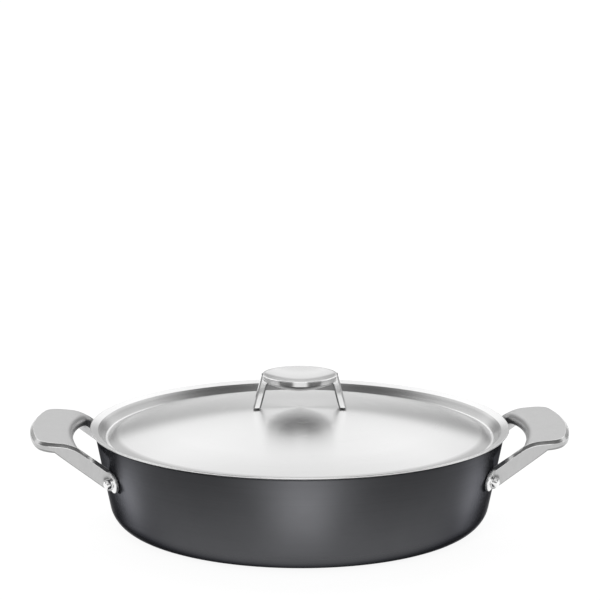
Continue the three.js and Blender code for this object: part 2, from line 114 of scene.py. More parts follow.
# Handles
HANDLE_REACH = 50.0
HANDLE_WIDTH = 117.0
GRIP_DEPTH = 33.0
GRIP_THICKNESS = 7.5
GRIP_ABOVE_RIM = 4.8
GRIP_RISE = math.radians(4.8)
GRIP_BULGE_RADIUS = 192.0
GRIP_CORNER = 15.0
RAYS_FROM_TIP = 49.5
WINDOW_RADIUS = 170.0
WINDOW_CORNER = 5.0
WINDOW_ROUND = 4.5
BAR_WIDTH = 5.0
BAR_HEIGHT = 13.3
BAR_ROUND = 1.0
BAR_SLOPE = math.radians(36.4)
GRIP_BEARING = math.radians(76)
BAR_BEARING = math.radians(104)
BEND_FROM_TIP = 36.0
BEND_RADIUS = 31.0
EDGE_CHAMFER = 2.5
EDGE_LEAD = 10.0
BAR_UNDER_CHAMFER = 0.6
GRIP_UNDER_CHAMFER = 2.4
EDGE_SOFTNESS = 0.5
LUG_THICKNESS = 3.0
LUG_RADIUS = 8.0
LUG_NECK_RADIUS = 4.4
LUG_NECK_RISE = 3.6
LUG_EDGE = 0.7
LUG_SEAT_ROUND = 0.3
LUG_FACE_INSETS = (1.6, 2.6, 3.6)

# Rivets
RIVET_BELOW_RIM = 26.5
RIVET_FROM_BAR = 2.8
RIVET_SHANK = 2.5
RIVET_HEAD_RADIUS = 3.8
RIVET_HEAD_HEIGHT = 5.0
RIVET_HEAD_CHAMFER = 0.8
RIVET_INNER_RADIUS = 5.5
RIVET_INNER_HEIGHT = 1.8
RIVET_INNER_CROWN = 1.2
RIVET_CROWN_POWER = 4

FIT = 0.3

# Fineness of the meshes
ARC_STEP = math.radians(7)
FILLET_SHARE = 0.49
TURN_STEPS = 192
KNOB_TURN_STEPS = 96
RIVET_TURN_STEPS = 40
DOME_STEPS = 36
KNOB_SPANS = 14
LEG_SPANS = 6
HANDLE_STATIONS = 60
GRIP_SPANS = 10
WINDOW_STEPS = 6
UNDER_STEPS = 3
EDGE_SAMPLES = 80
TRIM_HALVINGS = 30
LUG_STEPS = 28
LUG_NECK_STEPS = 12
LUG_EDGE_STEPS = 4
RIVET_CROWN_STEPS = 6
AXIS_RADIUS = 1e-6
MERGE_DISTANCE = 1e-4
EMPTY_DISTANCE = 1e-5
SHARP_ANGLE = math.radians(32)
LEG_SHARP_ANGLE = math.radians(15)

# Material numbers of the pieces that have several finishes. The knob's underside, the foot band of each
# leg and the under chamfer of the handle plate take darker steel that paints the shade there.
PAN_OUTSIDE, PAN_INSIDE = range(2)
KNOB_UNDER, KNOB_RIM, KNOB_FACE = range(3)
LEG_SIDE, LEG_FOOT = range(2)
PLATE_FACE, PLATE_EDGE, PLATE_UNDER = range(3)

# Sockets of a mix node that carry colours, and the usual range of a noise
MIX_FIRST, MIX_SECOND = 6, 7
MIX_RESULT = 2
NOISE_RANGE = (0.3, 0.7)

# Finishes. The pan gets rougher between two heights, in metres.
ANODISED_HEIGHTS = (0.010, 0.074)
ANODISED_STREAKS = 0.1
RING_SHADE = 0.97
RING_ROUGHNESS = (0.94, 1.06)
QUARTER_TURN = 0.25

# Painted light and shade on the lid, as tones at radii from its axis: darker at the edge of the dome and
# in the step, a painted highlight on the ring, darker down the well and lighter on the flange.
LID_PAINTED_TONES = (
    (0, 1), (108, 1), (141, 0.91), (144.5, 0.56), (149.6, 0.56), (150.2, 1.2), (151.6, 1.2),
    (152.3, 0.95), (155.5, 0.86), (156.8, 1.08), (170, 1.08),
)

# Camera, from the photograph's perspective
CAMERA_TARGET = Vector((0, 0, 0.040))
CAMERA_DISTANCE = 1.99193
CAMERA_AZIMUTH = math.radians(-1.78)
CAMERA_ELEVATION = math.radians(14.69)
CAMERA_PITCH = math.radians(3.85)
CAMERA_ROLL = 0.0025
CAMERA_LENS = 151.775
CAMERA_SENSOR = 36
CAMERA_REACH = 200

# Floor
FLOOR_SIZE = 60000
FLOOR_DROP = 0.2
FLOOR_GREY = 0.25
FLOOR_GLOW = 0.9

# Room, in parts of a direction: X to the side, Y to the back, Z up. An edge runs from start to end.
ROOM_LIGHT = 0.09
CEILING_EDGE = (0.56, 0.67)
SIDE_EDGE = (-0.40, -0.15)
SIDE_WALL_LIGHT = 0.20
SIDE_PANEL_END = (0.25, 0.50)
BACK_EDGE = (0.15, 0.40)
BACK_ENDS = (0.35, 0.60)
BACK_END_SHARE = 0.4
PANEL_BOTTOM = (0.180, 0.315)
PANEL_LIGHT = 0.95
PANEL_TOP = (0.42, 0.60)
PANEL_TOP_LIGHT = 0.24
OVERHEAD_EDGE = (0.72, 0.85)
OVERHEAD_END = (-0.42, -0.30)
OVERHEAD_LIGHT = 0.50
LOW_ENDS = (0.08, 0.24)
LOW_TOP = (0.10, 0.26)
LOW_LIGHT = 0.30
FRONT_EDGE = (-0.64, -0.48)
FRONT_ENDS = (0.30, 0.42)
FRONT_LIGHT = 1.16
APRON_EDGE = (-0.50, -0.30)
APRON_TOP = (0.18, 0.36)
APRON_LIGHT = 0.40
ASIDE_EDGE = (0.45, 0.60)
ASIDE_START = (-0.10, 0.04)
ASIDE_TOP = (0.70, 0.84)
ASIDE_LIGHT = 0.34

# Lamps: name, place, width, height, power
LAMPS = (
    ("front_panel", (0.0, -0.50, 0.27), 0.22, 0.15, 2.05),
    ("left_strip", (-0.95, 0.33, 0.035), 0.28, 0.06, 5.1),
    ("right_strip", (0.96, 0.29, 0.035), 0.28, 0.06, 4.3),
)

scene = bpy.context.scene


# Lines and curves

def spread(limit, steps):
    """Even steps from nought to a limit, both included."""
    return [limit * step / steps for step in range(steps + 1)]


def smoothstep(value, low, high):
    share = min(max((value - low) / (high - low), 0), 1)
    return share * share * (3 - 2 * share)


def lerp(a, b, share):
    return a + (b - a) * share


def rounded(corners):
    """Points of a line through corners (x, y, fillet), with an arc at each corner that has a fillet."""
    points = []
    for index, (x, y, fillet) in enumerate(corners):
        corner = Vector((x, y))
        if not fillet:
            points.append(corner)
            continue
        back = Vector(corners[index - 1][:2]) - corner
        forth = Vector(corners[index + 1][:2]) - corner
        room = FILLET_SHARE * min(back.length, forth.length)
        back.normalize()
        forth.normalize()
        half = math.acos(back.dot(forth)) / 2
        reach = min(fillet / math.tan(half), room)
        radius = reach * math.tan(half)
        centre = corner + (back + forth).normalized() * (radius / math.sin(half))
        spoke = corner + back * reach - centre
        sweep = math.pi - 2 * half
        turn = math.copysign(sweep, forth.x * back.y - forth.y * back.x)
        steps = max(2, math.ceil(sweep / ARC_STEP))
        for swing in spread(turn, steps):
            points.append(centre + Matrix.Rotation(swing, 2) @ spoke)
    return points


def offset_line(points, distance):
    """The same line moved sideways, to the left of its direction."""
    moved = []
    last = len(points) - 1
    for index, here in enumerate(points):
        into = (here - points[max(index - 1, 0)]).normalized()
        out = (points[min(index + 1, last)] - here).normalized()
        along = (into + out).normalized()
        stretch = 1 if index in (0, last) else along.dot(into)
        moved.append(here + Vector((-along.y, along.x)) * (distance / stretch))
    return moved


# Meshes

def new_piece(name, bm, sharp=SHARP_ANGLE):
    """Turns a bmesh in millimetres into an object in metres with smooth faces and sharp creases."""
    bmesh.ops.remove_doubles(bm, verts=bm.verts, dist=MERGE_DISTANCE)
    bmesh.ops.dissolve_degenerate(bm, dist=EMPTY_DISTANCE, edges=bm.edges)
    bmesh.ops.recalc_face_normals(bm, faces=bm.faces)
    bmesh.ops.scale(bm, vec=(MM, MM, MM), verts=bm.verts)
    mesh = bpy.data.meshes.new(name)
    bm.to_mesh(mesh)
    bm.free()
    mesh.polygons.foreach_set("use_smooth", [True] * len(mesh.polygons))
    mesh.set_sharp_from_angle(angle=sharp)
    piece = bpy.data.objects.new(name, mesh)
    scene.collection.objects.link(piece)
    return piece


def join_rings(bm, low, high, finish):
    """Adds a band of faces between two rings, either of which may be a single point."""
    for k in range(max(len(low), len(high))):
        after = k + 1
        loop = [low[k % len(low)], low[after % len(low)], high[after % len(high)], high[k % len(high)]]
        corners = list(dict.fromkeys(loop))
        if len(corners) > 2:
            bm.faces.new(corners).material_index = finish


def turned(name, strips, steps, matrix=None):
    """A piece turned about Z. A strip is a list of (radius, height) points and a material number."""
    bm = bmesh.new()
    turns = spread(2 * math.pi, steps)[:-1]
    last = None
    for points, finish in strips:
        for radius, height in points:
            if radius < AXIS_RADIUS:
                ring = [bm.verts.new((0, 0, height))]
            else:
                ring = [bm.verts.new((radius * math.cos(t), radius * math.sin(t), height)) for t in turns]
            if last:
                join_rings(bm, last, ring, finish)
            last = ring
    if matrix:
        bmesh.ops.transform(bm, matrix=matrix, verts=bm.verts)
    return new_piece(name, bm)


# Wall of the pan, and the seats of the rivets on it

WALL_LEAN = math.tan(WALL_TAPER)
WALL_ACROSS = WALL_THICKNESS / math.cos(WALL_TAPER)
RIM_CHAMFER_BOTTOM = PAN_HEIGHT - RIM_CHAMFER_DEPTH


def outer_radius(height):
    return RIM_RADIUS - (PAN_HEIGHT - height) * WALL_LEAN


def inner_radius(height):
    return outer_radius(height) - WALL_ACROSS


RIVET_HEIGHT = PAN_HEIGHT - RIVET_BELOW_RIM
RIVET_ACROSS = HANDLE_WIDTH / 2 + RIVET_FROM_BAR
RIVET_BEARING = math.asin(RIVET_ACROSS / outer_radius(RIVET_HEIGHT))


def wall_normal(bearing):
    return Vector((math.cos(bearing), math.sin(bearing), -WALL_LEAN)).normalized()


def wall_point(bearing, height, out):
    """A point that lies a distance out from the wall."""
    radius = outer_radius(height)
    foot = Vector((radius * math.cos(bearing), radius * math.sin(bearing), height))
    return foot + wall_normal(bearing) * out


def rivet_frame(bearing):
    """A frame on the wall at a rivet, with Z pointing out of the wall."""
    outward = wall_normal(bearing)
    sideways = Vector((-math.sin(bearing), math.cos(bearing), 0))
    upward = outward.cross(sideways)
    turn = Matrix((sideways, upward, outward)).transposed().to_4x4()
    return Matrix.Translation(wall_point(bearing, RIVET_HEIGHT, 0)) @ turn


# Pan

def make_pan():
    """The turned shell. Its finish changes at the lower edge of the chamfer inside the rim."""
    recess = DISC_THICKNESS + FIT
    recess_radius = DISC_RADIUS + FIT
    line = rounded([
        (0, recess, 0),
        (recess_radius, recess, 0),
        (recess_radius, 0, 0),
        (outer_radius(0), 0, OUTER_FILLET),
        (RIM_RADIUS, PAN_HEIGHT, RIM_ROUND),
        (inner_radius(PAN_HEIGHT) + RIM_CHAMFER_WIDTH, PAN_HEIGHT, 0),
        (inner_radius(RIM_CHAMFER_BOTTOM), RIM_CHAMFER_BOTTOM, 0),
        (inner_radius(FLOOR_THICKNESS), FLOOR_THICKNESS, INNER_FILLET),
        (0, FLOOR_THICKNESS, 0),
    ])
    turning = max(range(len(line)), key=lambda index: line[index].y)
    while line[turning].y > RIM_CHAMFER_BOTTOM + RIM_SLACK:
        turning += 1
    strips = [(line[:turning + 1], PAN_OUTSIDE), (line[turning + 1:], PAN_INSIDE)]
    return turned("pan", strips, TURN_STEPS)


def make_base_disc():
    """A flat disc with fine rings turned into its underside."""
    line = [(0, 0)]
    inside = DISC_RADIUS * DISC_PLAIN_SHARE
    pitch = (DISC_RADIUS - DISC_MARGIN - inside) / DISC_GROOVES
    for groove in range(DISC_GROOVES):
        start = inside + groove * pitch
        line.append((start, 0))
        line.append((start + pitch * GROOVE_START, 0))
        line.append((start + pitch * GROOVE_FLOOR_START, DISC_GROOVE_DEPTH))
        line.append((start + pitch * GROOVE_FLOOR_END, DISC_GROOVE_DEPTH))
    line.append((inside + DISC_GROOVES * pitch, 0))
    line.append((DISC_RADIUS - DISC_CHAMFER, 0))
    line.append((DISC_RADIUS, DISC_CHAMFER))
    line.append((DISC_RADIUS, DISC_THICKNESS))
    line.append((0, DISC_THICKNESS))
    return turned("base_plate", [(line, 0)], TURN_STEPS)


# Lid

RING_HEIGHT = PAN_HEIGHT - LID_WELL_DEPTH
WELL_RADIUS = inner_radius(RING_HEIGHT) - LID_CLEARANCE
STEP_EDGE = WELL_RADIUS - LID_RING_WIDTH
DOME_EDGE = STEP_EDGE - LID_STEP_WIDTH
DOME_RISE = LID_DOME_RISE - LID_STEP_RISE
DOME_RADIUS = (DOME_EDGE ** 2 + DOME_RISE ** 2) / (2 * DOME_RISE)
DOME_TOP = RING_HEIGHT + LID_DOME_RISE + LID_SHEET


def dome_height(radius, above):
    """Height at a radius of a surface that lies a distance above the underside of the dome."""
    return RING_HEIGHT + LID_DOME_RISE - DOME_RADIUS + math.sqrt((DOME_RADIUS + above) ** 2 - radius ** 2)


def make_lid():
    """The turned sheet: its underside, the hemmed edge, and the upper side back to the axis."""
    dome = [(radius, dome_height(radius, 0), 0) for radius in spread(DOME_EDGE, DOME_STEPS)]
    dome[-1] = (DOME_EDGE, RING_HEIGHT + LID_STEP_RISE, LID_STEP_ROUND)
    seat_radius = inner_radius(PAN_HEIGHT) + LID_SEAT_INSET
    rest_radius = RIM_RADIUS - RIM_ROUND
    neck_radius = inner_radius(RIM_CHAMFER_BOTTOM) - LID_NECK_GAP
    lip_radius = RIM_RADIUS + LID_OVERHANG
    lip_bottom = PAN_HEIGHT + LID_LIP_RISE
    lip_top = lip_bottom + LID_LIP_HEIGHT
    underside = rounded([
        *dome,
        (STEP_EDGE, RING_HEIGHT, LID_STEP_ROUND),
        (WELL_RADIUS, RING_HEIGHT, LID_BEND),
        (neck_radius, RIM_CHAMFER_BOTTOM, LID_BEND),
        (seat_radius, PAN_HEIGHT + FIT, LID_SEAT_ROUND),
        (rest_radius, PAN_HEIGHT + FIT, LID_SEAT_ROUND),
        (lip_radius - LID_LIP_WIDTH, lip_bottom + FIT, 0),
    ])
    topside = [place for place in offset_line(underside, LID_SHEET) if place.x < neck_radius - LID_SHEET]
    topside[0].x = 0
    edge = rounded([
        (lip_radius - LID_LIP_WIDTH, lip_bottom, 0),
        (lip_radius, lip_bottom, LID_LIP_ROUND),
        (lip_radius, lip_top, LID_LIP_ROUND),
        (seat_radius, lip_top - LID_HEM_FALL, LID_HEM_ROUND),
        (*topside[-1], 0),
    ])
    return turned("lid_shell", [(underside + edge + topside[-2::-1], 0)], TURN_STEPS)


# Knob

KNOB_TOP = DOME_TOP + KNOB_RISE
BAND_BOTTOM = KNOB_TOP - KNOB_BAND
DISH_RADIUS = KNOB_RADIUS - KNOB_LAND


def knob_underside(radius):
    return BAND_BOTTOM - KNOB_CROWN * (1 - (radius / KNOB_RADIUS) ** 2)


def knob_upside(radius):
    return KNOB_TOP - KNOB_DISH * (1 - (radius / DISH_RADIUS) ** 2)


def make_knob_disc():
    """A disc with a crowned underside, a band that is drawn in at the bottom, and a dished top."""
    low_radius = KNOB_RADIUS - KNOB_UNDERCUT
    under = [(radius, knob_underside(radius), 0) for radius in spread(low_radius, KNOB_SPANS)]
    under[-1] = (low_radius, BAND_BOTTOM, KNOB_EDGE)
    upper = [(radius, knob_upside(radius), 0) for radius in spread(DISH_RADIUS, KNOB_SPANS)]
    upper[-1] = (*upper[-1][:2], KNOB_EDGE)
    line = rounded([*under, (KNOB_RADIUS, KNOB_TOP, KNOB_EDGE), *upper[::-1]])
    band = next(i for i, place in enumerate(line) if place.y > BAND_BOTTOM)
    dish = next(i for i, place in enumerate(line) if i > band and place.x < DISH_RADIUS)
    # The underside strip takes darker steel that paints the shade under the disc.
    strips = [(line[:band + 1], KNOB_UNDER), (line[band:dish + 1], KNOB_RIM), (line[dish:], KNOB_FACE)]
    return turned("knob_plate", strips, KNOB_TURN_STEPS)


def make_knob_leg(name, side):
    """A leg of bevelled section with a drawn-in foot, from the dome up to the rim of the disc."""
    lean = math.tan(LEG_SPLAY)
    half = LEG_DEPTH / 2
    inner_fall = LEG_BEVEL * math.tan(LEG_INNER_SLOPE)
    outer_fall = LEG_BEVEL * math.tan(LEG_OUTER_SLOPE)
    foot = dome_height(KNOB_RADIUS + KNOB_RISE * lean, LID_SHEET)
    fillet_start = BAND_BOTTOM - LEG_FILLET
    shares = spread(1, LEG_SPANS)
    heights = [foot]
    heights += [lerp(foot + LEG_FOOT_BAND, fillet_start, share) for share in shares]
    heights += [lerp(fillet_start, BAND_BOTTOM, share) for share in shares[1:]]
    heights += [KNOB_TOP - LEG_TOP_EDGE, KNOB_TOP - LEG_TOP_GAP]
    insets = {0: LEG_FOOT_INSET, len(heights) - 1: LEG_TOP_INSET}
    foot_gaps = {0: LEG_FOOT_GAP, 1: LEG_FOOT_BAND}
    bm = bmesh.new()
    rings = []
    for index, height in enumerate(heights):
        outer = KNOB_RADIUS + (KNOB_TOP - height) * lean
        inner = outer - LEG_WIDTH
        rise = min(max(height - fillet_start, 0), LEG_FILLET)
        inner -= LEG_FILLET - math.sqrt(LEG_FILLET ** 2 - rise ** 2 * LEG_FILLET_SHARE)
        if height > BAND_BOTTOM:
            inner = KNOB_RADIUS - LEG_EAR
        inset = insets.get(index, 0)
        edge = half - inset
        outline = (
            ((inner + outer) / 2, -edge),
            (outer - inset - LEG_BEVEL, -edge),
            (outer - inset, outer_fall - edge),
            (outer - inset, edge - outer_fall),
            (outer - inset - LEG_BEVEL, edge),
            (inner + inset + LEG_BEVEL, edge),
            (inner + inset, edge - inner_fall),
            (inner + inset, inner_fall - edge),
            (inner + inset + LEG_BEVEL, -edge),
        )
        ring = []
        for place in map(Vector, outline):
            level = height
            if index in foot_gaps:
                level = dome_height(place.length, LID_SHEET) + foot_gaps[index]
            ring.append(bm.verts.new((side * place.x, side * place.y, level)))
        rings.append(ring)
    for low, high in zip(rings, rings[1:]):
        # The band at the foot takes darker steel that paints a contact shadow on the foot.
        join_rings(bm, low, high, LEG_FOOT if low is rings[0] else LEG_SIDE)
    bm.faces.new(rings[0])
    bm.faces.new(rings[-1])
    return new_piece(name, bm, LEG_SHARP_ANGLE)


# Handles

TIP = RIM_RADIUS + HANDLE_REACH
GRIP_TOP = PAN_HEIGHT + GRIP_ABOVE_RIM
BEND_X = TIP - BEND_FROM_TIP
BEND_Z = GRIP_TOP - BEND_FROM_TIP * math.tan(GRIP_RISE)
ROOT_X = outer_radius(0) - BAR_HEIGHT
WINDOW_X = TIP - RAYS_FROM_TIP
BAR_DROP = BAR_HEIGHT / math.cos(BAR_SLOPE)
HEEL_X = BEND_X + (BAR_DROP - GRIP_THICKNESS) / (math.tan(BAR_SLOPE) - math.tan(GRIP_RISE))


def grip_line(x):
    return GRIP_TOP - (TIP - x) * math.tan(GRIP_RISE)


def bar_line(x):
    return BEND_Z - (BEND_X - x) * math.tan(BAR_SLOPE)


def plate_top(x):
    """Height of the upper face: along the bar, round the bend, then along the grip."""
    reach = BEND_RADIUS * math.tan((BAR_SLOPE - GRIP_RISE) / 2)
    start = BEND_X - reach * math.cos(BAR_SLOPE)
    end = BEND_X + reach * math.cos(GRIP_RISE)
    if x <= start:
        return bar_line(x)
    if x >= end:
        return grip_line(x)
    centre_x = start + BEND_RADIUS * math.sin(BAR_SLOPE)
    centre_z = bar_line(start) - BEND_RADIUS * math.cos(BAR_SLOPE)
    return centre_z + math.sqrt(BEND_RADIUS ** 2 - (x - centre_x) ** 2)


def plate_bottom(x, thin):
    """Height of the lower face, from its deep outer edge (0) to the even thickness at the window (1)."""
    under_bar = max(bar_line(x) - BAR_DROP, RIVET_HEIGHT - LUG_RADIUS)
    under_edge = min(under_bar, grip_line(x) - GRIP_THICKNESS)
    return lerp(under_edge, plate_top(x) - GRIP_THICKNESS, thin)


def plan_edge(half_width, apex, arc_radius, corner):
    """Half of an edge in plan: along the bar, round a corner, then along the arc of the grip."""
    arc_x = apex - arc_radius
    corner_y = -(half_width - corner)
    corner_x = arc_x + math.sqrt((arc_radius - corner) ** 2 - corner_y ** 2)
    swing = math.atan2(corner_y, corner_x - arc_x)
    shares = spread(1, EDGE_SAMPLES)
    edge = [Vector((lerp(ROOT_X, corner_x, share), -half_width)) for share in shares[:-1]]
    for share in shares[:-1]:
        turn = lerp(-math.pi / 2, swing, share)
        edge.append(Vector((corner_x + corner * math.cos(turn), corner_y + corner * math.sin(turn))))
    for share in shares:
        turn = lerp(swing, 0, share)
        edge.append(Vector((arc_x + arc_radius * math.cos(turn), arc_radius * math.sin(turn))))
    return edge


def bearing_of(place):
    return math.atan2(place.y, place.x - WINDOW_X)


def on_ray(edge, bearing):
    """Where half of an edge, or its mirror image, meets the ray at a bearing."""
    goal = -abs(bearing)
    after = 1
    while after < len(edge) - 1 and bearing_of(edge[after]) < goal:
        after += 1
    before = edge[after - 1]
    low = bearing_of(before)
    high = bearing_of(edge[after])
    place = before.lerp(edge[after], (goal - low) / (high - low))
    return Vector((place.x, place.y * (-1 if bearing > 0 else 1)))


def left_of(edge, index):
    """The direction to the left of a line at one of its points."""
    along = edge[min(index + 1, len(edge) - 1)] - edge[max(index - 1, 0)]
    return Vector((-along.y, along.x)).normalized()


def plate_section(outer, outer_in, inner, inner_in, middle):
    """Points round one section of the plate, each with the material number of the face after it."""
    section = []

    def add(place, height, finish):
        section.append((Vector((place.x, place.y, height)), finish))

    under = lerp(BAR_UNDER_CHAMFER, GRIP_UNDER_CHAMFER, smoothstep(outer.x, BEND_X, TIP))
    window_round = lerp(BAR_ROUND, WINDOW_ROUND, middle)
    low_edge = rounded([
        (EDGE_LEAD, 0, 0),
        (under, 0, EDGE_SOFTNESS),
        (0, under, EDGE_SOFTNESS),
        (0, EDGE_LEAD, 0),
    ])[1:-1]
    top_edge = rounded([
        (0, -EDGE_LEAD, 0),
        (0, -EDGE_CHAMFER, EDGE_SOFTNESS),
        (EDGE_CHAMFER, 0, EDGE_SOFTNESS),
        (EDGE_LEAD, 0, 0),
    ])[1:-1]
    for index, (inset, rise) in enumerate(low_edge):
        place = outer + outer_in * inset
        # The under chamfer along the outer edge takes darker steel that paints the shade under the plate.
        finish = PLATE_FACE if index == len(low_edge) - 1 else PLATE_UNDER
        add(place, plate_bottom(place.x, 0) + rise, finish)
    for index, (inset, rise) in enumerate(top_edge):
        place = outer + outer_in * inset
        finish = PLATE_FACE if index == len(top_edge) - 1 else PLATE_EDGE
        add(place, plate_top(place.x) + rise, finish)
    start = outer + outer_in * top_edge[-1].x
    end = inner + inner_in * window_round
    for share in spread(1, GRIP_SPANS)[1:]:
        place = start.lerp(end, share)
        add(place, plate_top(place.x), PLATE_FACE)
    for turn in spread(math.pi / 2, WINDOW_STEPS)[1:]:
        place = inner + inner_in * (window_round * (1 - math.sin(turn)))
        drop = window_round * (1 - math.cos(turn))
        add(place, plate_top(place.x) - drop, PLATE_FACE)
    for turn in spread(math.pi / 2, UNDER_STEPS):
        place = inner + inner_in * (BAR_UNDER_CHAMFER * (1 - math.cos(turn)))
        rise = BAR_UNDER_CHAMFER * (1 - math.sin(turn))
        add(place, plate_bottom(place.x, middle) + rise, PLATE_FACE)
    start = inner + inner_in * BAR_UNDER_CHAMFER
    end = outer + outer_in * low_edge[0].x
    for share in spread(1, GRIP_SPANS)[1:-1]:
        place = start.lerp(end, share)
        add(place, plate_bottom(place.x, middle * (1 - share)), PLATE_FACE)
    return section


def wall_gap(place):
    """How far a point lies outside the space kept free round the wall."""
    return math.hypot(place.x, place.y) - outer_radius(place.z) - FIT / math.cos(WALL_TAPER)


def trim_to_wall(column):
    """Moves the points of a lengthwise line that lie inside the wall to where the line leaves it."""
    forth = list(range(len(column)))
    for indices in (forth, forth[::-1]):
        first = next(i for i, index in enumerate(indices) if wall_gap(column[index]) > 0)
        if first == 0:
            continue
        outside = column[indices[first]]
        inside = column[indices[first - 1]]
        for _ in range(TRIM_HALVINGS):
            middle = inside.lerp(outside, 0.5)
            if wall_gap(middle) > 0:
                outside = middle
            else:
                inside = middle
        for index in indices[:first]:
            column[index] = outside.copy()
    return column


def add_plate(bm):
    """Adds the bent plate, in sections on rays from the window that are joined along its length."""
    half_width = HANDLE_WIDTH / 2
    outer_half = plan_edge(half_width, TIP, GRIP_BULGE_RADIUS, GRIP_CORNER)
    inner_half = plan_edge(half_width - BAR_WIDTH, TIP - GRIP_DEPTH, WINDOW_RADIUS, WINDOW_CORNER)
    widest = -max(bearing_of(outer_half[0]), bearing_of(inner_half[0]))
    heel = abs(bearing_of(Vector((HEEL_X, -half_width))))
    stations = [widest * i / HANDLE_STATIONS for i in range(-HANDLE_STATIONS, HANDLE_STATIONS + 1)]
    bearings = sorted([*stations, heel, -heel])
    outer = [on_ray(outer_half, bearing) for bearing in bearings]
    inner = [on_ray(inner_half, bearing) for bearing in bearings]
    sections = []
    for index, bearing in enumerate(bearings):
        middle = 1 - smoothstep(abs(bearing), GRIP_BEARING, BAR_BEARING)
        outer_in = left_of(outer, index)
        inner_in = -left_of(inner, index)
        sections.append(plate_section(outer[index], outer_in, inner[index], inner_in, middle))
    count = len(sections[0])
    finishes = [finish for _, finish in sections[0]]
    columns = [trim_to_wall([section[c][0] for section in sections]) for c in range(count)]
    verts = [[bm.verts.new(place) for place in column] for column in columns]
    for c, here in enumerate(verts):
        beside = verts[(c + 1) % count]
        for s in range(len(sections) - 1):
            bm.faces.new((here[s], beside[s], beside[s + 1], here[s + 1])).material_index = finishes[c]
    for s in (0, -1):
        bm.faces.new([column[s] for column in verts])


def lug_outline(side, inset):
    """The drop shape of a lug, drawn in by a distance: two circles and the tangents between them."""
    neck_x = -side * (RIVET_FROM_BAR + BAR_WIDTH / 2)
    span = math.hypot(neck_x, LUG_NECK_RISE)
    heading = math.atan2(LUG_NECK_RISE, neck_x)
    swing = math.acos((LUG_RADIUS - LUG_NECK_RADIUS) / span)
    neck = Vector((neck_x, LUG_NECK_RISE))
    outline = []
    for share in spread(1, LUG_STEPS):
        turn = lerp(heading + swing, heading - swing + 2 * math.pi, share)
        outline.append(Vector((math.cos(turn), math.sin(turn))) * (LUG_RADIUS - inset))
    for share in spread(1, LUG_NECK_STEPS):
        turn = lerp(heading - swing, heading + swing, share)
        outline.append(neck + Vector((math.cos(turn), math.sin(turn))) * (LUG_NECK_RADIUS - inset))
    return outline


def add_lug(bm, side):
    """Adds a lug that lies on the curve of the wall, in rings from its seat up to its face."""
    bearing = side * RIVET_BEARING
    radius = outer_radius(RIVET_HEIGHT)
    top = FIT + LUG_THICKNESS
    levels = [(LUG_SEAT_ROUND, FIT), (0, FIT + LUG_SEAT_ROUND)]
    for turn in spread(math.pi / 2, LUG_EDGE_STEPS):
        levels.append((LUG_EDGE * (1 - math.cos(turn)), top - LUG_EDGE * (1 - math.sin(turn))))
    levels += [(inset, top) for inset in LUG_FACE_INSETS]
    rings = []
    for inset, out in levels:
        ring = []
        for place in lug_outline(side, inset):
            height = RIVET_HEIGHT + place.y * math.cos(WALL_TAPER)
            ring.append(bm.verts.new(wall_point(bearing + place.x / radius, height, out)))
        rings.append(ring)
    for low, high in zip(rings, rings[1:]):
        join_rings(bm, low, high, PLATE_EDGE)
    for ring in (rings[0], rings[-1]):
        bm.faces.new(ring).material_index = PLATE_EDGE


def make_handle(name, turn):
    bm = bmesh.new()
    add_plate(bm)
    for side in (-1, 1):
        add_lug(bm, side)
    bmesh.ops.transform(bm, matrix=Matrix.Rotation(turn, 4, "Z"), verts=bm.verts)
    return new_piece(name, bm)


def make_rivet(name, bearing):
    """A rivet with a low crowned head inside the wall, a shank, and a tall head outside the lug."""
    under = -WALL_THICKNESS - FIT
    seat = LUG_THICKNESS + 2 * FIT
    top = seat + RIVET_HEAD_HEIGHT
    inner_bottom = under - RIVET_INNER_HEIGHT
    crown = []
    for share in spread(1, RIVET_CROWN_STEPS):
        crown_rise = RIVET_INNER_CROWN * share ** RIVET_CROWN_POWER
        crown.append((RIVET_INNER_RADIUS * share, inner_bottom + crown_rise, 0))
    line = rounded([
        *crown,
        (RIVET_INNER_RADIUS, under, 0),
        (RIVET_SHANK, under, 0),
        (RIVET_SHANK, seat, 0),
        (RIVET_HEAD_RADIUS, seat, 0),
        (RIVET_HEAD_RADIUS, top, RIVET_HEAD_CHAMFER),
        (0, top, 0),
    ])
    return turned(name, [(line, 0)], RIVET_TURN_STEPS, rivet_frame(bearing))


# Nodes. Keywords name sockets or properties, with underscores for the spaces in a socket's name.

def grey(level):
    return (level, level, level)


def new_material(name, **values):
    """A material with one shader, whose constant values are set on its sockets."""
    made = bpy.data.materials.new(name)
    made.use_nodes = True
    shader = made.node_tree.nodes["Principled BSDF"]
    for socket, value in values.items():
        shader.inputs[socket.replace("_", " ")].default_value = value
    return made, made.node_tree, shader


def add_node(tree, kind, **values):
    node = tree.nodes.new(kind)
    for name, value in values.items():
        socket = name.replace("_", " ")
        if socket in node.inputs:
            node.inputs[socket].default_value = value
        else:
            setattr(node, name, value)
    return node


def combined(tree, operation, *values):
    """The result of a math node. Numbers are set on its sockets, and other values are linked to them."""
    node = add_node(tree, "ShaderNodeMath", operation=operation)
    for socket, value in zip(node.inputs, values):
        if isinstance(value, (int, float)):
            socket.default_value = value
        else:
            tree.links.new(value, socket)
    return node.outputs[0]


def parts_of(tree, vector):
    node = add_node(tree, "ShaderNodeSeparateXYZ")
    tree.links.new(vector, node.inputs["Vector"])
    return node.outputs


def noise_of(tree, vector, scale, detail, roughness=0.5):
    node = add_node(tree, "ShaderNodeTexNoise", Scale=scale, Detail=detail, Roughness=roughness)
    tree.links.new(vector, node.inputs["Vector"])
    return node.outputs["Fac"]


def ranged(tree, value, low, high, source=NOISE_RANGE, blend="LINEAR"):
    """Brings a value from its source range into a range from low to high."""
    start, end = source
    node = add_node(
        tree, "ShaderNodeMapRange", interpolation_type=blend,
        From_Min=start, From_Max=end, To_Min=low, To_Max=high,
    )
    tree.links.new(value, node.inputs["Value"])
    return node.outputs["Result"]


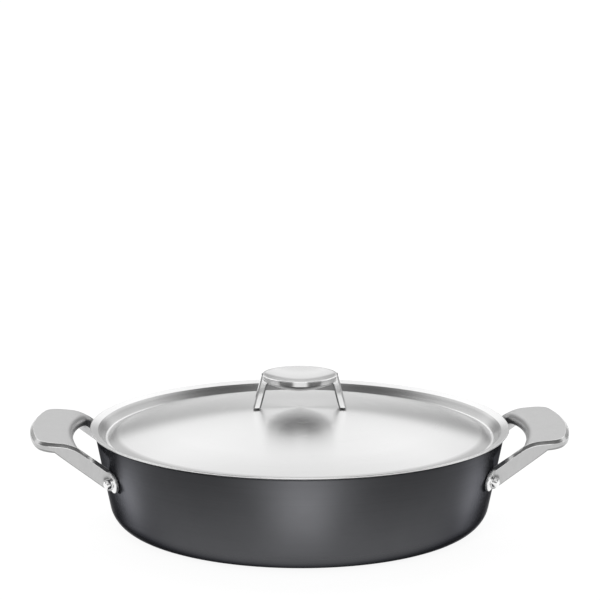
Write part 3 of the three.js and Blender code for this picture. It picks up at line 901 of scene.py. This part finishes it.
def tinted(tree, value, dark, light):
    node = add_node(tree, "ShaderNodeMix", data_type="RGBA")
    node.inputs[MIX_FIRST].default_value = (*dark, 1)
    node.inputs[MIX_SECOND].default_value = (*light, 1)
    tree.links.new(value, node.inputs["Factor"])
    return node.outputs[MIX_RESULT]


def bumped(tree, shader, height, strength, distance):
    node = add_node(tree, "ShaderNodeBump", Strength=strength, Distance=distance)
    tree.links.new(height, node.inputs["Height"])
    tree.links.new(node.outputs["Normal"], shader.inputs["Normal"])


def object_place(tree):
    return add_node(tree, "ShaderNodeTexCoord").outputs["Object"]


def polar_place(tree, around, across, up):
    """Coordinates that follow a turned surface: angle round Z, distance from Z, and height."""
    place = parts_of(tree, object_place(tree))
    angle = combined(tree, "ARCTAN2", place["Y"], place["X"])
    flat = add_node(tree, "ShaderNodeCombineXYZ")
    for axis in "XY":
        tree.links.new(place[axis], flat.inputs[axis])
    length = add_node(tree, "ShaderNodeVectorMath", operation="LENGTH")
    tree.links.new(flat.outputs["Vector"], length.inputs[0])
    joined = add_node(tree, "ShaderNodeCombineXYZ")
    for axis, source, scale in (
        ("X", angle, around),
        ("Y", length.outputs["Value"], across),
        ("Z", place["Z"], up),
    ):
        tree.links.new(combined(tree, "MULTIPLY", source, scale), joined.inputs[axis])
    return joined.outputs["Vector"]


def turned_tangent(tree, shader):
    tangent = add_node(tree, "ShaderNodeTangent", direction_type="RADIAL", axis="Z")
    tree.links.new(tangent.outputs["Tangent"], shader.inputs["Tangent"])


def painted_tones_by_radius(tree, colour, painted_tones):
    """Paints light and shade into a colour: multiplies it by tones that are set at radii from the Z axis.
    """
    radius = parts_of(tree, polar_place(tree, around=1, across=1 / MM, up=1))["Y"]
    ramp = add_node(tree, "ShaderNodeValToRGB")
    (_, first_tone), *between, (outermost, last_tone) = painted_tones
    stops = ramp.color_ramp.elements
    for stop_radius, tone in between:
        stops.new(stop_radius / outermost).color = (*grey(tone), 1)
    stops[0].color = (*grey(first_tone), 1)
    stops[len(stops) - 1].color = (*grey(last_tone), 1)
    tree.links.new(ranged(tree, radius, 0, 1, source=(0, outermost)), ramp.inputs["Fac"])
    toned = add_node(tree, "ShaderNodeMix", data_type="RGBA", blend_type="MULTIPLY", Factor=1)
    tree.links.new(colour, toned.inputs[MIX_FIRST])
    tree.links.new(ramp.outputs["Color"], toned.inputs[MIX_SECOND])
    return toned.outputs[MIX_RESULT]


# Materials

def anodised_material():
    """Dark anodised metal with fine turned lines, smoother towards the base."""
    made, tree, shader = new_material(
        "anodised", Metallic=1.0, Anisotropic=0.85, Anisotropic_Rotation=QUARTER_TURN,
        Specular_Tint=(0.15, 0.15, 0.16, 1),
    )
    turned_tangent(tree, shader)
    place = object_place(tree)
    mottle = noise_of(tree, place, scale=60, detail=4)
    colour = tinted(tree, mottle, dark=(0.083, 0.084, 0.089), light=(0.094, 0.095, 0.101))
    tree.links.new(colour, shader.inputs["Base Color"])
    lines = noise_of(tree, polar_place(tree, around=2, across=900, up=900), scale=1, detail=3)
    height = parts_of(tree, place)["Z"]
    upwards = ranged(tree, height, low=0.22, high=0.64, source=ANODISED_HEIGHTS)
    rough = combined(tree, "MULTIPLY_ADD", lines, ANODISED_STREAKS, upwards)
    tree.links.new(rough, shader.inputs["Roughness"])
    grain = noise_of(tree, place, scale=2600, detail=2)
    bumped(tree, shader, grain, strength=0.12, distance=0.0002)
    return made


def coating_material():
    """The dark flecked coating inside the pan."""
    made, tree, shader = new_material("inner_coating", Metallic=0.0)
    place = object_place(tree)
    fleck = noise_of(tree, place, scale=900, detail=3)
    colour = tinted(tree, fleck, dark=(0.018, 0.018, 0.019), light=(0.032, 0.032, 0.034))
    tree.links.new(colour, shader.inputs["Base Color"])
    patches = noise_of(tree, place, scale=90, detail=4)
    tree.links.new(ranged(tree, patches, low=0.34, high=0.46), shader.inputs["Roughness"])
    bumped(tree, shader, fleck, strength=0.15, distance=0.0002)
    return made


def spun_steel_material(name, bright, rough, fineness, anisotropy, painted_tones=()):
    """Steel with fine rings turned into it about Z, and painted light and shade at set radii when tones
    are given.
    """
    made, tree, shader = new_material(
        name, Metallic=1.0, Anisotropic=anisotropy, Anisotropic_Rotation=QUARTER_TURN,
    )
    turned_tangent(tree, shader)
    place = polar_place(tree, around=1.5, across=fineness, up=0)
    rings = noise_of(tree, place, scale=1, detail=4, roughness=0.6)
    dark = tuple(level * RING_SHADE for level in bright)
    colour = tinted(tree, rings, dark, bright)
    if painted_tones:
        colour = painted_tones_by_radius(tree, colour, painted_tones)
    tree.links.new(colour, shader.inputs["Base Color"])
    smoothest, roughest = (rough * share for share in RING_ROUGHNESS)
    tree.links.new(ranged(tree, rings, smoothest, roughest), shader.inputs["Roughness"])
    bumped(tree, shader, rings, strength=0.015, distance=0.0001)
    return made


def satin_steel_material(name, dark, light):
    """Steel with a fine cross-brushed grain and faint uneven patches."""
    made, tree, shader = new_material(name, Metallic=1.0)
    place = object_place(tree)
    stretched = add_node(tree, "ShaderNodeMapping", Scale=(900, 900, 160))
    tree.links.new(place, stretched.inputs["Vector"])
    grain = noise_of(tree, stretched.outputs["Vector"], scale=1, detail=3, roughness=0.6)
    tree.links.new(tinted(tree, grain, grey(dark), grey(light)), shader.inputs["Base Color"])
    patches = noise_of(tree, place, scale=70, detail=3)
    tree.links.new(ranged(tree, patches, low=0.30, high=0.38), shader.inputs["Roughness"])
    bumped(tree, shader, grain, strength=0.12, distance=0.0002)
    return made


def hazed_steel_material(name, dark, light, smoothest, roughest, haze_scale, grain_scale, grain_strength):
    """Plain steel with a faint haze and a very fine grain."""
    made, tree, shader = new_material(name, Metallic=1.0)
    place = object_place(tree)
    haze = noise_of(tree, place, haze_scale, detail=4)
    tree.links.new(tinted(tree, haze, grey(dark), grey(light)), shader.inputs["Base Color"])
    tree.links.new(ranged(tree, haze, smoothest, roughest), shader.inputs["Roughness"])
    grain = noise_of(tree, place, grain_scale, detail=2)
    bumped(tree, shader, grain, grain_strength, distance=0.0001)
    return made


def polished_steel_material(name, smoothest, roughest):
    return hazed_steel_material(
        name, dark=0.88, light=0.94, smoothest=smoothest, roughest=roughest,
        haze_scale=140, grain_scale=900, grain_strength=0.03,
    )


def painted_shade_steel_material():
    """Darker steel that paints the shade under the knob's disc and at the feet of its legs."""
    return hazed_steel_material(
        "painted_shade_steel", dark=0.40, light=0.48, smoothest=0.28, roughest=0.38,
        haze_scale=200, grain_scale=1200, grain_strength=0.05,
    )


# Studio

def make_floor():
    """A floor whose glow is seen directly, mirrored or through clear pieces, and lights nothing matt."""
    bm = bmesh.new()
    bmesh.ops.create_grid(bm, x_segments=4, y_segments=4, size=FLOOR_SIZE)
    bmesh.ops.translate(bm, vec=(0, 0, -FLOOR_DROP), verts=bm.verts)
    floor = new_piece("floor", bm)
    made, tree, shader = new_material(
        "floor", Roughness=0.9, Base_Color=(*grey(FLOOR_GREY), 1), Specular_IOR_Level=0.0,
        Emission_Color=(1, 1, 1, 1),
    )
    rays = add_node(tree, "ShaderNodeLightPath").outputs
    seen = combined(tree, "MAXIMUM", rays["Is Camera Ray"], rays["Is Glossy Ray"])
    seen = combined(tree, "MAXIMUM", seen, rays["Is Transmission Ray"])
    tree.links.new(combined(tree, "MULTIPLY", seen, FLOOR_GLOW), shader.inputs["Emission Strength"])
    floor.data.materials.append(made)


def make_world():
    """A dim room: a bright panel and a low glow at the back, lit sides, glows in front and overhead."""
    world = bpy.data.worlds.new("studio")
    scene.world = world
    world.use_nodes = True
    tree = world.node_tree
    background = tree.nodes["Background"]
    background.inputs["Color"].default_value = (1, 1, 1, 1)

    def step(value, edge, before, after):
        return ranged(tree, value, before, after, edge, "SMOOTHSTEP")

    def product(*values):
        return combined(tree, "MULTIPLY", *values)

    heading = parts_of(tree, add_node(tree, "ShaderNodeTexCoord").outputs["Generated"])
    sideways = combined(tree, "ABSOLUTE", heading["X"])
    depth = heading["Y"]
    height = heading["Z"]
    at_back = step(depth, BACK_EDGE, 0, 1)
    behind = product(at_back, step(sideways, BACK_ENDS, 1, BACK_END_SHARE))
    side_wall = product(step(depth, SIDE_EDGE, 0, 1), step(height, CEILING_EDGE, 1, 0))
    side_panel = product(side_wall, step(depth, SIDE_PANEL_END, 1, 0))
    panel = combined(tree, "MAXIMUM", behind, side_panel)
    overhead = product(step(height, OVERHEAD_EDGE, 0, 1), step(depth, OVERHEAD_END, OVERHEAD_LIGHT, 0))
    low = product(at_back, step(sideways, LOW_ENDS, 1, 0))
    low = product(low, step(height, LOW_TOP, LOW_LIGHT, 0))
    front = product(step(depth, FRONT_EDGE, FRONT_LIGHT, 0), step(sideways, FRONT_ENDS, 1, 0))
    apron = product(step(depth, APRON_EDGE, 1, 0), step(height, APRON_TOP, APRON_LIGHT, 0))
    aside = product(step(sideways, ASIDE_EDGE, 0, 1), step(depth, ASIDE_START, 0, 1))
    aside = product(aside, step(height, ASIDE_TOP, ASIDE_LIGHT, 0))
    room = combined(tree, "MULTIPLY_ADD", side_wall, SIDE_WALL_LIGHT, ROOM_LIGHT)
    room = combined(tree, "MULTIPLY_ADD", panel, step(height, PANEL_BOTTOM, 0, PANEL_LIGHT), room)
    room = combined(tree, "MULTIPLY_ADD", behind, step(height, PANEL_TOP, 0, PANEL_TOP_LIGHT), room)
    for glow in (combined(tree, "MAXIMUM", front, apron), low, overhead):
        room = combined(tree, "ADD", room, glow)
    room = combined(tree, "MAXIMUM", room, aside)
    seen = add_node(tree, "ShaderNodeLightPath").outputs["Is Camera Ray"]
    tree.links.new(combined(tree, "MAXIMUM", room, seen), background.inputs["Strength"])


def make_lamp(name, place, width, height, power, lit):
    """A soft panel that faces the middle of the pan and lights one collection."""
    light = bpy.data.lights.new(name, "AREA")
    light.shape = "RECTANGLE"
    light.size = width
    light.size_y = height
    light.energy = power
    lamp = bpy.data.objects.new(name, light)
    lamp.location = place
    lamp.rotation_euler = (Vector(place) - CAMERA_TARGET).to_track_quat("Z", "Y").to_euler()
    lamp.visible_camera = False
    lamp.light_linking.receiver_collection = lit
    scene.collection.objects.link(lamp)


def make_camera():
    def direction(azimuth, elevation):
        flat = math.cos(elevation)
        return Vector((math.sin(azimuth) * flat, -math.cos(azimuth) * flat, math.sin(elevation)))

    camera = bpy.data.objects.new("camera", bpy.data.cameras.new("camera"))
    scene.collection.objects.link(camera)
    camera.location = CAMERA_TARGET + direction(CAMERA_AZIMUTH, CAMERA_ELEVATION) * CAMERA_DISTANCE
    back = direction(CAMERA_AZIMUTH, CAMERA_ELEVATION - CAMERA_PITCH)
    roll = Quaternion((0, 0, 1), CAMERA_ROLL)
    camera.rotation_euler = (back.to_track_quat("Z", "Y") @ roll).to_euler()
    camera.data.sensor_width = CAMERA_SENSOR
    camera.data.lens = CAMERA_LENS
    camera.data.clip_end = CAMERA_REACH
    scene.camera = camera


# Dressing

anodised = anodised_material()
coating = coating_material()
# The lid's tones paint shade on its step and well, and highlights on its ring and flange.
lid_steel = spun_steel_material(
    "lid_steel", bright=grey(0.72), rough=0.26, fineness=700, anisotropy=0.85, painted_tones=LID_PAINTED_TONES,
)
disc_steel = spun_steel_material(
    "disc_steel", bright=(0.50, 0.50, 0.49), rough=0.38, fineness=500, anisotropy=0.7,
)
dish_steel = spun_steel_material("dish_steel", bright=grey(0.58), rough=0.20, fineness=900, anisotropy=0.4)
satin_steel = satin_steel_material("satin_steel", dark=0.47, light=0.56)
# A darker copy of the satin steel that paints the shade on the handles' under chamfers.
painted_shade_satin_steel = satin_steel_material("painted_shade_satin_steel", dark=0.24, light=0.32)
polished_steel = polished_steel_material("polished_steel", smoothest=0.07, roughest=0.13)
edge_steel = polished_steel_material("edge_steel", smoothest=0.20, roughest=0.28)
# Darker steel that paints shade under the knob's disc and at the feet of its legs.
painted_shade_steel = painted_shade_steel_material()


def dress(piece, body, slot, nodes, *materials):
    for made in materials:
        piece.data.materials.append(made)
    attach(piece, body)
    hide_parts(*nodes)


pan = make_pan()
dress(pan, "pan", "anodised", ["pan_body"], anodised, coating)
dress(make_base_disc(), "pan", "disc_steel", ["base_disc"], disc_steel)
dress(make_lid(), "lid", "satin_steel", ["lid"], lid_steel)
dress(make_knob_disc(), "lid", "polished_steel", ["knob_disc"], painted_shade_steel, polished_steel, dish_steel)
for side_name, side, turn in (("right", 1, 0), ("left", -1, math.pi)):
    leg = make_knob_leg(f"knob_strut_{side_name}", side)
    dress(leg, "lid", "polished_steel", [f"knob_leg_{side_name}"], polished_steel, painted_shade_steel)
    handle = make_handle(f"grip_{side_name}", turn)
    dress(handle, "pan", "satin_steel", [f"handle_{side_name}"], satin_steel, edge_steel, painted_shade_satin_steel)
    for end_name, end in (("front", -1), ("back", 1)):
        bearing = turn + end * side * RIVET_BEARING
        rivet = make_rivet(f"rivet_head_{side_name}_{end_name}", bearing)
        dress(rivet, "pan", "polished_steel", [f"rivet_{side_name}_{end_name}"], polished_steel)

make_floor()
make_world()
pan_only = bpy.data.collections.new("pan_only")
pan_only.objects.link(pan)
for lamp_values in LAMPS:
    make_lamp(*lamp_values, pan_only)
make_camera()
scene.view_settings.view_transform = "Standard"
